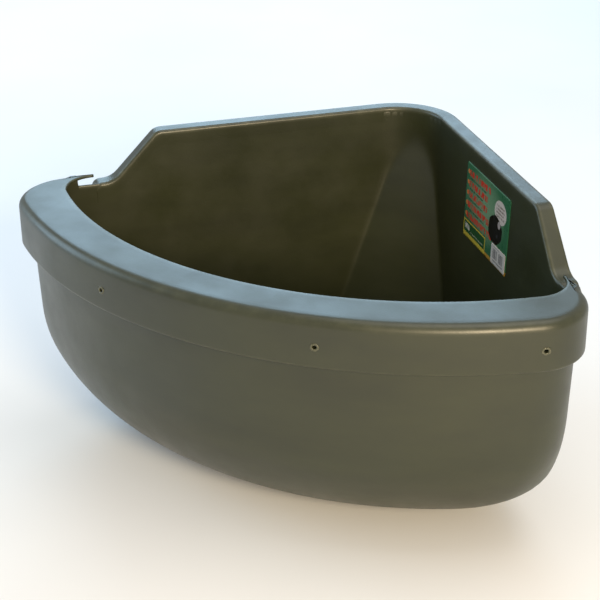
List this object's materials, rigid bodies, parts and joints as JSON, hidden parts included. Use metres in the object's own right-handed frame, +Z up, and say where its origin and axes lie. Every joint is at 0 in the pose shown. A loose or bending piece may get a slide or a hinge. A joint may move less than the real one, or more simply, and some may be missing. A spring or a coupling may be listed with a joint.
{
  "type": "corner feed and water trough",
  "caption": "Quarter-round corner trough in moulded plastic: raised back flange for two pen walls, sloping back corner, bowed front with a broad flat rim and skirt, printed label inside.",
  "frame": {"origin": "middle of the bounding box on the floor under the trough", "axes": "+Z up, +Y towards the room corner the trough fits into, -Y towards the bowed front, +X along the widest dimension"},
  "size_m": [0.7828, 0.5895, 0.39],
  "materials": {
    "green_polyethylene": "satin moulded polyethylene",
    "printed_label": "printed vinyl film",
    "white_sticker": "printed white sticker"
  },
  "bodies": {
    "root": {"trough_shell": "green_polyethylene", "product_label": "printed_label", "barcode_sticker": "white_sticker"}
  },
  "joints": []
}
